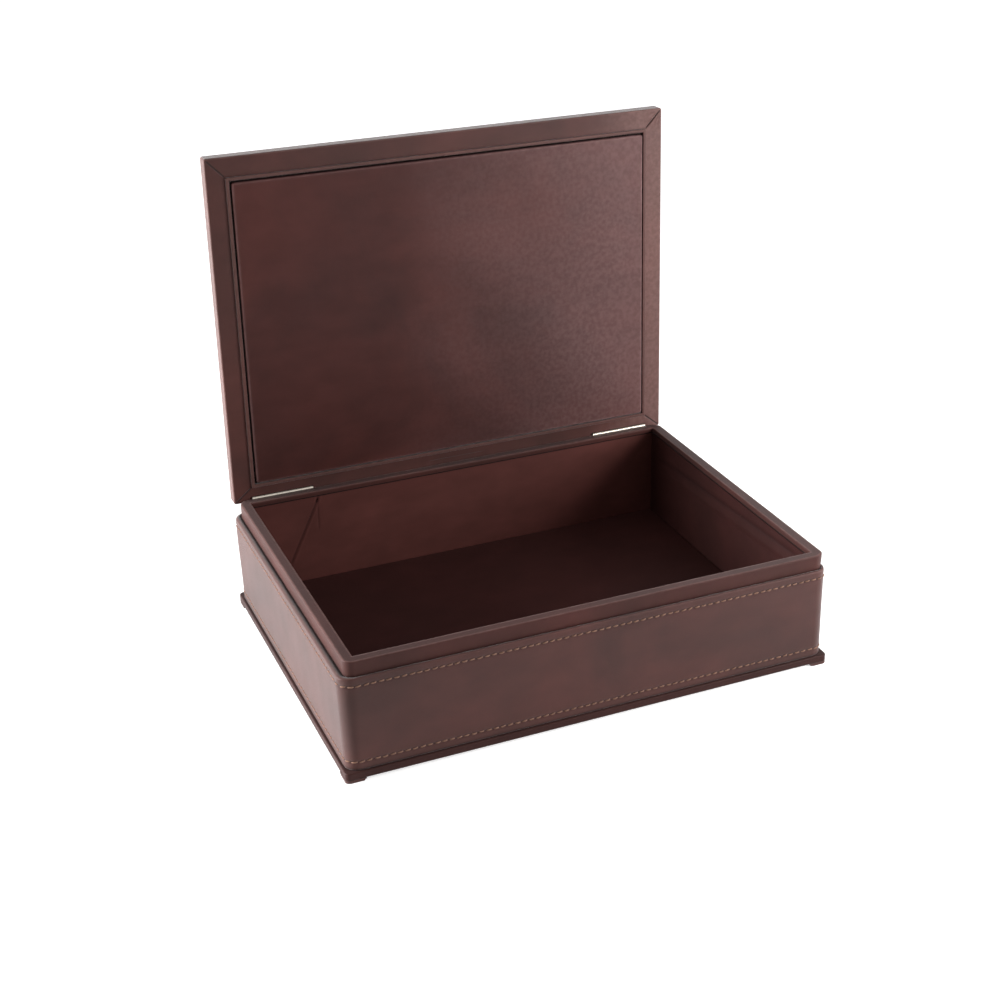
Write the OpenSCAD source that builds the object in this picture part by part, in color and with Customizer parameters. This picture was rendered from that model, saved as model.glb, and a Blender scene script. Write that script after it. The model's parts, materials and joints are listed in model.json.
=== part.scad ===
// Leather-covered stationery box with a flat lid that overhangs the neck all round.
// Two small hinges are let into the rim, and the lid's rear overhang stops it just past upright.
// Origin: under the middle of the bounding box with the lid open, on the surface it stands on.
// Front is -Y.

/* [Inner tray and neck] */
// Outside width of the neck, over its leather
neck_w = 330; // [240:1:420]
// Outside depth of the neck, over its leather
neck_d = 240; // [180:1:320]
// Height of the neck's rim above the table
neck_top = 81; // [60:1:140]
// Outside corner radius of the neck
neck_corner = 6; // [4:0.5:12]
// Thickness of the tray's wall boards
tray_board = 5.4; // [3:0.1:9]
// Thickness of the tray's floor board
floor_board = 4; // [2:0.5:8]
// Rounding of the rim's outer and inner arris
rim_round = 1; // [0.4:0.1:2]

/* [Leather] */
// Thickness of the covering leather
leather = 0.9; // [0.6:0.1:1.2]
// Thickness of the lined card panels inside the tray
lining = 1.4; // [1:0.1:2]
// How far the cover turns in below the rim, inside
turn_in = 3.5; // [2:0.5:10]

/* [Outer case] */
// Thickness of the case boards round the tray
case_board = 1.8; // [1:0.1:4]
// Height that the neck shows above the case
neck_show = 10; // [4:0.5:25]
// Rounding of the case cover's bottom edge
hem_round = 0.7; // [0.2:0.1:0.8]

/* [Plinth and feet] */
// Thickness of the plinth, over its leather
plinth_h = 5; // [4:0.5:12]
// How far the plinth stands out past the case
plinth_over = 1.7; // [0.5:0.1:10]
// Corner radius of the plinth
plinth_corner = 3; // [2:0.5:10]
// Rounding of the plinth's arrises
plinth_round = 0.8; // [0.2:0.1:1.5]
// Height of the feet
foot_h = 1.8; // [1:0.1:8]
// Side of each square corner foot
foot_side = 13; // [8:0.5:30]
// Size of the cove at each foot's inner corner
foot_cove = 1.2; // [0.4:0.1:1.5]

/* [Lid] */
// Thickness of the lid, over its leather
lid_h = 10.3; // [8:0.1:16]
// How far the lid stands out past the neck on each side
lid_over_side = 3.2; // [1:0.1:12]
// How far the lid stands out past the neck in front
lid_over_front = 5.2; // [1:0.1:12]
// How far the lid stands out past the neck behind, where it stops the lid
lid_over_rear = 2.4; // [2:0.1:8]
// Corner radius of the lid
lid_corner = 3; // [2:0.5:10]
// Rounding of the lid's arrises
lid_round = 1.2; // [0.5:0.1:2]
// Gap left between the closed lid and the rim
lid_gap = 0.2; // [0.1:0.05:0.6]
// Opening angle at which the lid's overhang rests on the back of the neck
lid_open = 91.5; // [90.5:0.5:110]

/* [Lid insert] */
// Play between the insert's step and the tray at the sides
step_play_side = 2.8; // [1:0.1:6]
// Play between the insert's step and the tray at front and rear
step_play_end = 1.3; // [1:0.1:6]
// Height of the first step above the lid's border
step_h = 1.4; // [0.8:0.1:3]
// Width of the first step's tread
step_tread = 2.4; // [2:0.1:8]
// Width of the groove between the step and the raised panel
step_groove = 1.2; // [0.4:0.1:2]
// Height of the panel board above the lid's border
panel_h = 1.9; // [1:0.1:5]
// Rounding of the panel cover's edge
panel_round = 1; // [0.4:0.1:1.4]
// Length of the pressed seat in the middle of the rear border
seat_len = 43; // [20:1:80]
// Width of the pressed seat
seat_w = 6; // [3:0.1:9]
// Depth of the pressed seat
seat_deep = 0.45; // [0.1:0.05:0.5]

/* [Hinges] */
// Length of each hinge
hinge_len = 44.5; // [30:0.5:70]
// Distance from the middle of the box to the middle of a hinge
hinge_off = 133; // [60:1:190]
// Thickness of the hinge leaves
leaf_t = 0.5; // [0.4:0.1:1]
// Width of the leaf let into the lid
lid_leaf_w = 9; // [6:0.5:14]
// Number of knuckles in a hinge
knuckles = 5; // [3:2:9]
// Radius of the hinge pin
pin_r = 0.9; // [0.5:0.05:1]
// Radial play between the pin and the knuckles that turn on it
pin_play = 0.05; // [0.02:0.01:0.1]
// Play between neighbouring knuckles, and round them
knuckle_play = 0.15; // [0.08:0.01:0.3]
// Room that the notches in rim and lid leave at each end of a hinge
notch_play = 0.5; // [0.2:0.1:2]
// Radius of a screw's thread
screw_r = 0.8; // [0.5:0.05:1]
// Length of a screw
screw_len = 6; // [3:0.5:10]
// Radius of a screw's countersunk head
screw_head_r = 1.4; // [1:0.1:1.8]

/* [Hidden] */
$fn = 64;
over = 1;
screws_per_leaf = 3;
head_depth = leaf_t * 0.8;

plinth_top = foot_h + plinth_h;
case_top = neck_top - neck_show;
band = case_board + leather;
neck_wall = 2 * leather + tray_board;
case_w = neck_w + 2 * band;
case_d = neck_d + 2 * band;
case_corner = neck_corner + band;
roll_r = band / 2;
plinth_w = case_w + 2 * plinth_over;
plinth_d = case_d + 2 * plinth_over;
tray_w = neck_w - 2 * leather;
tray_d = neck_d - 2 * leather;
tray_corner = neck_corner - leather;
tray_in_w = tray_w - 2 * tray_board;
tray_in_d = tray_d - 2 * tray_board;
mouth_w = neck_w - 2 * neck_wall;
mouth_d = neck_d - 2 * neck_wall;
board_top = neck_top - leather;
floor_top = plinth_top + floor_board;
lining_top = neck_top - turn_in;

lid_z = neck_top + lid_gap;
lid_w = neck_w + 2 * lid_over_side;
lid_front = -neck_d / 2 - lid_over_front;
lid_rear = neck_d / 2 + lid_over_rear;
lid_d = lid_rear - lid_front;
lid_mid = (lid_rear + lid_front) / 2;
step_w = mouth_w - 2 * step_play_side;
step_d = mouth_d - 2 * step_play_end;
panel_w = step_w - 2 * (step_tread + step_groove);
panel_d = step_d - 2 * (step_tread + step_groove);
window_w = step_w - 2 * step_tread;
window_d = step_d - 2 * step_tread;

barrel_r = lid_gap / 2 + leather + leaf_t;
knuckle_len = hinge_len / knuckles;
tray_leaf_w = tray_board - 1;
axis_z = neck_top + lid_gap / 2;

// The axis lies where the open lid's rear arris just touches the back of the neck
arris_y = lid_rear - lid_round;
arris_z = lid_z + lid_round - axis_z;
axis_y = (neck_d / 2 + lid_round - arris_z * sin(lid_open) - arris_y * cos(lid_open)) / (1 - cos(lid_open));
board_back = axis_y - neck_d / 2 + leather;

lid_reach_y = (lid_front + lid_round - axis_y) * cos(lid_open);
lid_reach_z = (lid_z + lid_h - lid_round - axis_z) * sin(lid_open);
rear_most = axis_y + lid_reach_y + lid_reach_z + lid_round;
origin_y = (rear_most - plinth_d / 2) / 2;

leather_brown = [0.29, 0.17, 0.15];
lining_brown = [0.24, 0.13, 0.12];
board_grey = [0.62, 0.55, 0.46];
nickel = [0.80, 0.78, 0.75];

// Rectangle with rounded corners
module round_rect(w, d, r) {
  square([w - 2 * r, d], center = true);
  square([w, d - 2 * r], center = true);
  for (sx = [-1, 1], sy = [-1, 1])
    translate([sx * (w / 2 - r), sy * (d / 2 - r)])
      circle(r);
}

// Carries a profile round a rounded rectangle. Profile x is outward from the path, y is up.
module carry_round(w, d, r) {
  for (k = [0 : 3]) {
    out = k % 2 == 0 ? w / 2 : d / 2;
    run = (k % 2 == 0 ? d : w) - 2 * r;
    rotate([0, 0, 90 * k]) {
      translate([out, run / 2, 0])
        rotate([90, 0, 0])
          linear_extrude(run)
            children();
      translate([out - r, run / 2, 0])
        rotate_extrude(angle = 90)
          translate([r, 0])
            children();
    }
  }
}

// Edge of a slab: a strip as deep as the plan corner, with its outer arrises rounded
module edge_strip(deep, h, top_r, bottom_r) {
  difference() {
    translate([-deep, 0])
      square([deep, h]);
    if (top_r > 0)
      translate([-top_r, h - top_r])
        difference() {
          square(2 * top_r);
          circle(top_r);
        }
    if (bottom_r > 0)
      translate([-bottom_r, bottom_r])
        difference() {
          translate([0, -2 * bottom_r])
            square(2 * bottom_r);
          circle(bottom_r);
        }
  }
}

// Slab with rounded plan corners and rounded arrises
module slab(w, d, h, r, top_r, bottom_r) {
  carry_round(w, d, r)
    edge_strip(r, h, top_r, bottom_r);
  translate([r - w / 2, r - d / 2, 0])
    cube([w - 2 * r, d - 2 * r, h]);
}

// Wall of a w by d box: front and rear run the whole width, left and right fit between them
module side_wall(side, w, d, t, h) {
  if (side == "front") translate([-w / 2, -d / 2, 0]) cube([w, t, h]);
  if (side == "rear") translate([-w / 2, d / 2 - t, 0]) cube([w, t, h]);
  if (side == "left") translate([-w / 2, t - d / 2, 0]) cube([t, d - 2 * t, h]);
  if (side == "right") translate([w / 2 - t, t - d / 2, 0]) cube([t, d - 2 * t, h]);
}

// Square foot under a corner of the plinth, with a cove along its two inner edges
module foot(sx, sy) {
  inner_x = plinth_w / 2 - foot_side;
  inner_y = plinth_d / 2 - foot_side;
  color(leather_brown)
    difference() {
      intersection() {
        linear_extrude(foot_h)
          round_rect(plinth_w, plinth_d, plinth_corner);
        translate([sx > 0 ? inner_x : -plinth_w, sy > 0 ? inner_y : -plinth_d, 0])
          cube([plinth_w - inner_x, plinth_d - inner_y, foot_h]);
      }
      translate([sx * inner_x, 0, 0])
        rotate([90, 0, 0])
          cylinder(h = plinth_d + 2 * over, r = foot_cove, center = true);
      translate([0, sy * inner_y, 0])
        rotate([0, 90, 0])
          cylinder(h = plinth_w + 2 * over, r = foot_cove, center = true);
    }
}

module plinth_board() {
  color(board_grey)
    translate([0, 0, foot_h + leather])
      linear_extrude(plinth_h - 2 * leather)
        round_rect(plinth_w - 2 * leather, plinth_d - 2 * leather, plinth_corner - leather);
}

module plinth_cover() {
  color(leather_brown)
    difference() {
      translate([0, 0, foot_h])
        slab(plinth_w, plinth_d, plinth_h, plinth_corner, plinth_round, plinth_round);
      plinth_board();
    }
}

module case_ring() {
  difference() {
    translate([0, 0, plinth_top])
      linear_extrude(case_top - roll_r - plinth_top)
        round_rect(case_w - 2 * leather, case_d - 2 * leather, case_corner - leather);
    translate([0, 0, plinth_top - over])
      linear_extrude(case_top)
        round_rect(neck_w, neck_d, neck_corner);
  }
}

// The case's front and rear boards carry its round corners
module case_side(side) {
  corner = band + neck_corner;
  color(board_grey)
    intersection() {
      case_ring();
      side_wall(side, case_w, case_d, corner, case_top);
    }
}

// Leather band: plain wall, rounded hem and a roll over the boards' top edge
module case_cover() {
  wall_h = case_top - roll_r - plinth_top;
  color(leather_brown)
    translate([0, 0, plinth_top])
      carry_round(case_w, case_d, case_corner)
        union() {
          difference() {
            translate([-leather, 0])
              square([leather, wall_h]);
            translate([-hem_round, hem_round])
              difference() {
                translate([0, -2 * hem_round])
                  square(2 * hem_round);
                circle(hem_round);
              }
          }
          intersection() {
            translate([-roll_r, wall_h])
              circle(roll_r);
            translate([-band, wall_h])
              square([band, roll_r]);
          }
        }
}

module tray_side(side) {
  color(board_grey)
    difference() {
      intersection() {
        translate([0, 0, plinth_top])
          side_wall(side, tray_w, tray_d, tray_board, board_top - plinth_top);
        linear_extrude(board_top)
          round_rect(tray_w, tray_d, tray_corner);
      }
      if (side == "rear")
        for (s = [-1, 1]) {
          hinge_notch(s);
          tray_leaf_plate(s);
          tray_screws(s);
        }
    }
}

module tray_floor_board() {
  color(board_grey)
    translate([-tray_in_w / 2, -tray_in_d / 2, plinth_top])
      cube([tray_in_w, tray_in_d, floor_board]);
}

// Leather over the tray: outside wall, rim and the short turn-in inside the rim
module neck_cover() {
  color(leather_brown)
    difference() {
      translate([0, 0, plinth_top])
        slab(neck_w, neck_d, neck_top - plinth_top, neck_corner, rim_round, 0);
      translate([0, 0, plinth_top - over])
        linear_extrude(lining_top - plinth_top + over)
          round_rect(tray_w, tray_d, tray_corner);
      translate([0, 0, lining_top - over])
        tray_top_core();
      translate([-mouth_w / 2, -mouth_d / 2, lining_top - over])
        cube([mouth_w, mouth_d, neck_top]);
      mouth_round();
      for (s = [-1, 1]) {
        hinge_notch(s);
        tray_leaf_plate(s);
      }
    }
}

// The tray boards' top part, which the cover's rim is folded over
module tray_top_core() {
  difference() {
    linear_extrude(board_top - lining_top + over)
      round_rect(tray_w, tray_d, tray_corner);
    translate([-tray_in_w / 2, -tray_in_d / 2, -over])
      cube([tray_in_w, tray_in_d, neck_top]);
  }
}

// Cutter that rounds the rim's inner arris, mitred at the corners
module mouth_round() {
  for (k = [0 : 3]) {
    out = k % 2 == 0 ? mouth_w / 2 : mouth_d / 2;
    run = k % 2 == 0 ? mouth_d : mouth_w;
    rotate([0, 0, 90 * k])
      translate([out, run / 2, neck_top])
        rotate([90, 0, 0])
          linear_extrude(run)
            difference() {
              translate([-over, -rim_round])
                square([rim_round + over, rim_round + over]);
              translate([rim_round, -rim_round])
                circle(rim_round);
            }
  }
}

module lining_wall(side) {
  color(lining_brown)
    translate([0, 0, floor_top])
      side_wall(side, tray_in_w, tray_in_d, lining, lining_top - floor_top);
}

module lining_floor() {
  color(lining_brown)
    translate([-tray_in_w / 2 + lining, -tray_in_d / 2 + lining, floor_top])
      cube([tray_in_w - 2 * lining, tray_in_d - 2 * lining, lining]);
}

// Runs a hinge section along the box from x0 to x1, with section x as -Y to +Y and section y up
module hinge_run(s, x0, x1) {
  translate([s * hinge_off - hinge_len / 2 + x0, axis_y, axis_z])
    rotate([90, 0, 90])
      linear_extrude(x1 - x0)
        children();
}

// Knuckle k of a hinge, with play left at its inner ends
module knuckle_run(s, k) {
  x0 = k * knuckle_len + (k == 0 ? 0 : knuckle_play / 2);
  x1 = (k + 1) * knuckle_len - (k == knuckles - 1 ? 0 : knuckle_play / 2);
  hinge_run(s, x0, x1)
    children();
}

// Groove for the barrel, cut half into the rim and half into the lid
module hinge_notch(s) {
  hinge_run(s, -notch_play, hinge_len + notch_play)
    circle(barrel_r + knuckle_play);
}

// Leaf under the rim's leather, flush with the top of the tray's board
module tray_leaf_plate(s) {
  hinge_run(s, 0, hinge_len)
    translate([-board_back - tray_leaf_w, -barrel_r])
      square([board_back + tray_leaf_w, leaf_t]);
}

// Leaf under the border's leather, drawn with the lid closed
module lid_leaf_plate(s) {
  hinge_run(s, 0, hinge_len)
    translate([-lid_leaf_w, barrel_r - leaf_t])
      square([lid_leaf_w, leaf_t]);
}

function screw_x(s, i) = s * hinge_off + (i - (screws_per_leaf - 1) / 2) * hinge_len / screws_per_leaf;

module screw() {
  translate([0, 0, -screw_len])
    cylinder(h = screw_len, r = screw_r);
  translate([0, 0, -head_depth])
    cylinder(h = head_depth, r1 = screw_r, r2 = screw_head_r);
}

module tray_screws(s) {
  for (i = [0 : screws_per_leaf - 1])
    translate([screw_x(s, i), neck_d / 2 - leather - tray_leaf_w / 2, board_top])
      screw();
}

module lid_screws(s) {
  for (i = [0 : screws_per_leaf - 1])
    translate([screw_x(s, i), axis_y - lid_leaf_w / 2, lid_z + leather])
      rotate([180, 0, 0])
        screw();
}

// One leaf of a hinge: the plate, cut back from the other leaf's knuckles, with its own knuckles
module leaf_body(s, own_knuckles) {
  difference() {
    children();
    hinge_run(s, -over, hinge_len + over)
      circle(barrel_r + knuckle_play);
  }
  for (k = own_knuckles)
    knuckle_run(s, k)
      circle(barrel_r);
  for (k = own_knuckles)
    intersection() {
      children();
      knuckle_run(s, k)
        square(4 * barrel_r, center = true);
    }
}

module tray_leaf(s) {
  color(nickel)
    difference() {
      leaf_body(s, [0 : 2 : knuckles - 1])
        tray_leaf_plate(s);
      hinge_run(s, -over, hinge_len + over)
        circle(pin_r);
      tray_screws(s);
    }
}

module lid_leaf(s) {
  color(nickel)
    difference() {
      leaf_body(s, [1 : 2 : knuckles - 2])
        lid_leaf_plate(s);
      hinge_run(s, -over, hinge_len + over)
        circle(pin_r + pin_play);
      lid_screws(s);
    }
}

module hinge_pin(s) {
  color(nickel)
    hinge_run(s, 0, hinge_len)
      circle(pin_r);
}

module tray_leaf_screws() {
  color(nickel)
    for (s = [-1, 1])
      tray_screws(s);
}

// Turns what is drawn closed to the open position
module on_lid() {
  translate([0, axis_y, axis_z])
    rotate([-lid_open, 0, 0])
      translate([0, -axis_y, -axis_z])
        children();
}

// Moves the box, drawn round the middle of its tray, so that the origin is where the header says
module placed() {
  translate([0, -origin_y, 0])
    children();
}

module lid_core() {
  translate([0, lid_mid, lid_z + leather])
    linear_extrude(lid_h - 2 * leather)
      round_rect(lid_w - 2 * leather, lid_d - 2 * leather, lid_corner - leather);
}

module lid_board() {
  color(board_grey)
    on_lid()
      difference() {
        lid_core();
        for (s = [-1, 1]) {
          hinge_notch(s);
          lid_leaf_plate(s);
          lid_screws(s);
        }
      }
}

// Leather round the lid: outer face, edges and the mitred border on the inner face
module lid_cover() {
  color(leather_brown)
    on_lid()
      difference() {
        translate([0, lid_mid, lid_z])
          slab(lid_w, lid_d, lid_h, lid_corner, lid_round, lid_round);
        lid_core();
        translate([-step_w / 2, -step_d / 2, lid_z - over])
          cube([step_w, step_d, over + leather]);
        translate([-seat_len / 2, lid_rear - seat_w, lid_z - over])
          cube([seat_len, seat_w + over, over + seat_deep]);
        for (s = [-1, 1]) {
          hinge_notch(s);
          lid_leaf_plate(s);
        }
      }
}

// First step of the insert: a frame that drops inside the neck when the lid shuts
module lid_step_frame() {
  color(leather_brown)
    on_lid()
      difference() {
        translate([0, 0, lid_z - step_h])
          linear_extrude(step_h + leather)
            square([step_w, step_d], center = true);
        translate([-window_w / 2, -window_d / 2, lid_z - step_h - over])
          cube([window_w, window_d, step_h + leather + 2 * over]);
      }
}

module panel_core() {
  translate([0, 0, lid_z - panel_h])
    linear_extrude(panel_h + leather)
      square([panel_w - 2 * leather, panel_d - 2 * leather], center = true);
}

module lid_panel_board() {
  color(board_grey)
    on_lid()
      panel_core();
}

// Leather over the panel board, with a rounded edge
module lid_panel_cover() {
  r = panel_round + leather;
  color(lining_brown)
    on_lid()
      difference() {
        translate([0, 0, lid_z - panel_h - leather])
          slab(panel_w, panel_d, panel_h + 2 * leather, r, 0, panel_round);
        panel_core();
      }
}

module lid_leaf_screws() {
  color(nickel)
    on_lid()
      for (s = [-1, 1])
        lid_screws(s);
}

placed() foot(-1, -1);  // foot_front_left
placed() foot(1, -1);  // foot_front_right
placed() foot(-1, 1);  // foot_rear_left
placed() foot(1, 1);  // foot_rear_right
placed() plinth_board();
placed() plinth_cover();
placed() case_side("front");  // case_front_board
placed() case_side("rear");  // case_rear_board
placed() case_side("left");  // case_left_board
placed() case_side("right");  // case_right_board
placed() case_cover();
placed() tray_side("front");  // tray_front_board
placed() tray_side("rear");  // tray_rear_board
placed() tray_side("left");  // tray_left_board
placed() tray_side("right");  // tray_right_board
placed() tray_floor_board();
placed() neck_cover();
placed() lining_wall("front");  // lining_front
placed() lining_wall("rear");  // lining_rear
placed() lining_wall("left");  // lining_left
placed() lining_wall("right");  // lining_right
placed() lining_floor();
placed() tray_leaf(-1);  // hinge_left_tray_leaf
placed() tray_leaf(1);  // hinge_right_tray_leaf
placed() hinge_pin(-1);  // hinge_left_pin
placed() hinge_pin(1);  // hinge_right_pin
placed() tray_leaf_screws();
placed() lid_board();
placed() lid_cover();
placed() lid_step_frame();
placed() lid_panel_board();
placed() lid_panel_cover();
placed() on_lid() lid_leaf(-1);  // hinge_left_lid_leaf
placed() on_lid() lid_leaf(1);  // hinge_right_lid_leaf
placed() lid_leaf_screws();
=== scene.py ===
# Leather stationery box, standing open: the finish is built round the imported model.
import json
import math

import bpy
import numpy as np
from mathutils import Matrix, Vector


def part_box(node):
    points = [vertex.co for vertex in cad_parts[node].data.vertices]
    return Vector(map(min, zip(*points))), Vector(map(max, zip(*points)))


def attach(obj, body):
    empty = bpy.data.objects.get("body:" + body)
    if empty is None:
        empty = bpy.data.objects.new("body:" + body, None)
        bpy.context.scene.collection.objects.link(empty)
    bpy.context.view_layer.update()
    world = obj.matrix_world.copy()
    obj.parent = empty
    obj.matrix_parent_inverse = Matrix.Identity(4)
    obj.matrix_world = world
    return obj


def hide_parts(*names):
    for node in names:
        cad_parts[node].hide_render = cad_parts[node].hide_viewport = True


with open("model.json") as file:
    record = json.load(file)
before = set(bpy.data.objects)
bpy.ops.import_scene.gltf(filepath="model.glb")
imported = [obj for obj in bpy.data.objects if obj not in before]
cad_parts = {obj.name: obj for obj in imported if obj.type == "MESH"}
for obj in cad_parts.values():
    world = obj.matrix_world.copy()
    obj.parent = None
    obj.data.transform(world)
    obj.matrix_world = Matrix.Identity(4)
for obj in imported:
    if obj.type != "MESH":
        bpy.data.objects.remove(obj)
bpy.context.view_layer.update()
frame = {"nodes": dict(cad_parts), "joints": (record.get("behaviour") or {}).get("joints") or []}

mm = 0.001
hinge = next(j for j in frame["joints"] if j["name"] == "lid_hinge")
hingeY, hingeZ = hinge["pos_m"][1], hinge["pos_m"][2]
openAngle = math.radians(hinge["range_deg"][1])
neckLow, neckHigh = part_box("neck_cover")
middleY = (neckLow.y + neckHigh.y) / 2  # the middle of the tray
rimZ = neckHigh.z
print("frame loaded, lid standing open at", round(math.degrees(openAngle), 1), "degrees")

leastRadius = 0.05 * mm  # no carried corner gets tighter than this
sharpAngle = 40  # edges that turn by more degrees than this are shaded sharp
waves = {"count": 7, "shortest": 18, "longest": 70}  # lengths in millimetres
creaseEnds = ((-0.02, 0.08), (0.92, 1.02))  # where a crease fades in and out, in shares of its length


# A closed way round a rounded rectangle: straight runs, then quarter turns, counter-clockwise.
# "along" runs from -1 to 1 over the straight part, as sin(90 degrees x share) unless it is even,
# and "facing" is the outward direction, (cos, sin) of the turn.
def wayRound(longSteps, shortSteps, cornerSteps, even=False):
    along, facing = [], []
    for k in range(4):
        steps = shortSteps if k % 2 == 0 else longSteps
        run = np.linspace(-1, 1, steps + 2)[1:-1]
        if not even:
            run = np.sin(run * math.pi / 2)
        turn = k * math.pi / 2
        sides = [(1 + 0 * run, run), (-run, 1 + 0 * run), (-1 + 0 * run, -run), (run, -1 + 0 * run)]
        along.append(np.column_stack(sides[k]))
        facing.append(np.tile([math.cos(turn), math.sin(turn)], (steps, 1)))
        swing = turn + np.linspace(0, math.pi / 2, cornerSteps)
        corner = [(1, 1), (-1, 1), (-1, -1), (1, -1)][k]
        along.append(np.tile(corner, (cornerSteps, 1)))
        facing.append(np.column_stack([np.cos(swing), np.sin(swing)]))
    return np.concatenate(along).astype(float), np.concatenate(facing)


# Ring = along x (half size less its corner radius) + facing x corner radius
def ring(way, halfW, halfD, radius, midY):
    along, facing = way
    flat = along * [halfW - radius, halfD - radius] + facing * radius
    return flat + [0, midY]


# Carries a profile round a rounded rectangle: each profile point (out, height) gives one ring
# of half size + out, corner radius + out, at that height
def carryRound(way, width, depth, radius, profile, midY):
    rings = []
    for out, height in profile:
        flat = ring(way, width / 2 + out, depth / 2 + out, max(radius + out, leastRadius), midY)
        rings.append(np.column_stack([flat, np.full(len(flat), height)]))
    return np.stack(rings)


# Bend of a profile: centre + radius x (cos, sin) from one angle to another, in degrees
def bend(out, height, radius, start, stop, steps):
    angles = np.radians(np.linspace(start, stop, steps))
    return [(out + radius * math.cos(a), height + radius * math.sin(a)) for a in angles]


# How far out each point of a profile lies, as a column
def outsOf(profile):
    return np.array([p[0] for p in profile])[:, None]


# Quads between neighbouring rings; closed joins the last ring to the first, else both ends are filled
def ringFaces(count, size, closed):
    k = np.arange(count if closed else count - 1)[:, None]
    i = np.arange(size)[None, :]
    a = k * size + i
    b = k * size + (i + 1) % size
    up = ((k + 1) % count) * size
    quads = np.stack([a, b, up + (i + 1) % size, up + i], axis=-1).reshape(-1, 4).tolist()
    if not closed:
        quads.append(list(range(size))[::-1])
        quads.append([(count - 1) * size + n for n in range(size)])
    return quads


# Points drawn with the lid shut, turned about the hinge line to where the lid stands:
# y = y cos + z sin and z = z cos - y sin, both measured from the hinge line
def openLid(points):
    points = points.reshape(-1, 3)
    y, z = points[:, 1] - hingeY, points[:, 2] - hingeZ
    c, s = math.cos(openAngle), math.sin(openAngle)
    return np.column_stack([points[:, 0], hingeY + y * c + z * s, hingeZ - y * s + z * c])


# Faces turned outward. Six times the enclosed volume is the sum of corner . (corner x corner)
# over the fans of every face, and where it is negative every face is turned round.
def turnedOut(points, faces):
    points = points - points.mean(0)
    total = 0.0
    quads = np.array([f for f in faces if len(f) == 4])
    if len(quads):
        p = points[quads]
        for m, n in ((1, 2), (2, 3)):
            total += np.einsum("ij,ij->", p[:, 0], np.cross(p[:, m], p[:, n]))
    for f in (f for f in faces if len(f) != 4):
        q = points[f]
        total += np.einsum("ij,ij->", np.tile(q[0], (len(q) - 2, 1)), np.cross(q[1:-1], q[2:]))
    return faces if total > 0 else [f[::-1] for f in faces]


# Makes the mesh and its object. Wear with painted highlight, and painted shade, are point attributes from 0 to 1
# for the material.
def makePiece(name, points, faces, finish, body, stands=(), wearAndHighlight=None, paintedShade=None,
              angle=sharpAngle):
    points = np.asarray(points).reshape(-1, 3)
    mesh = bpy.data.meshes.new(name)
    mesh.from_pydata(points.tolist(), [], turnedOut(points, faces))
    mesh.update()
    mesh.shade_smooth()
    mesh.set_sharp_from_angle(angle=math.radians(angle))
    for label, values in (("wearAndHighlight", wearAndHighlight), ("paintedShade", paintedShade)):
        if values is not None:
            spots = np.clip(values, 0, 1).astype(np.float32).ravel()
            mesh.attributes.new(label, "FLOAT", "POINT").data.foreach_set("value", spots)
    mesh.materials.append(finish)
    piece = bpy.data.objects.new(name, mesh)
    bpy.context.scene.collection.objects.link(piece)
    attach(piece, body)
    if stands:
        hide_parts(*stands)
    print("made", name, len(mesh.polygons), "faces")
    return piece


# Cuts round grooves for the hinge barrels, then keeps the cut mesh. A groove is a cylinder
# about the hinge line: hinge line + radius x (cos, sin), between two places along x.
def cutGrooves(piece, grooves):
    sides, half, radius = grooves["sides"], grooves["length"] / 2, grooves["radius"]
    spin = np.linspace(0, 2 * math.pi, sides, endpoint=False)
    for middle in (-grooves["off"], grooves["off"]):
        points = np.concatenate([
            np.column_stack([np.full(sides, x), hingeY + radius * np.cos(spin),
                             hingeZ + radius * np.sin(spin)])
            for x in (middle - half, middle + half)])
        mesh = bpy.data.meshes.new("groove")
        mesh.from_pydata(points.tolist(), [], turnedOut(points, ringFaces(2, sides, False)))
        tool = bpy.data.objects.new("groove", mesh)
        bpy.context.scene.collection.objects.link(tool)
        cut = piece.modifiers.new("groove", "BOOLEAN")
        cut.operation, cut.solver, cut.object = "DIFFERENCE", "EXACT", tool
        graph = bpy.context.evaluated_depsgraph_get()
        done = bpy.data.meshes.new_from_object(piece.evaluated_get(graph))
        piece.modifiers.clear()
        old, piece.data = piece.data, done
        bpy.data.meshes.remove(old)
        bpy.data.objects.remove(tool)
        bpy.data.meshes.remove(mesh)
    piece.data.set_sharp_from_angle(angle=math.radians(sharpAngle))


# Low soft waves of hand-laid leather: the mean of sines of fixed, unrelated lengths and directions
def softWaves(x, y, z, seed):
    value = np.zeros_like(x)
    rng = np.random.default_rng(seed)
    for _ in range(waves["count"]):
        direction = rng.normal(size=3)
        direction /= np.linalg.norm(direction)
        length = rng.uniform(waves["shortest"], waves["longest"]) * mm
        value += np.sin((x * direction[0] + y * direction[1] + z * direction[2]) * 2 * math.pi / length
                        + rng.uniform(0, 6.28))
    return value / waves["count"]


# Eased step from 0 at low to 1 at high: t x t x (3 - 2 t)
def smoothStep(value, low, high):
    t = np.clip((value - low) / (high - low), 0, 1)
    return t * t * (3 - 2 * t)


# Bump of height 1 about the middle: exp(-(distance / width) squared)
def bump(distance, width):
    return np.exp(-(distance / width) ** 2)


# Trough beside a straight line, fading at both ends: the bump of the distance from the line
def crease(x, z, start, stop, width):
    d = np.array(stop) - np.array(start)
    size = np.hypot(*d)
    t = ((x - start[0]) * d[0] + (z - start[1]) * d[1]) / size ** 2
    off = ((x - start[0]) * d[1] - (z - start[1]) * d[0]) / size
    fade = smoothStep(t, *creaseEnds[0]) * (1 - smoothStep(t, *creaseEnds[1]))
    return bump(off, width) * fade


# Node helpers: inputs are given by name or number
def addNode(tree, kind, inputs=None, **settings):
    node = tree.nodes.new(kind)
    for key, value in settings.items():
        setattr(node, key, value)
    for key, value in (inputs or {}).items():
        node.inputs[key].default_value = value
    return node


def addNoise(tree, where, inputs):
    node = addNode(tree, "ShaderNodeTexNoise", inputs)
    tree.links.new(where, node.inputs["Vector"])
    return node


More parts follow.
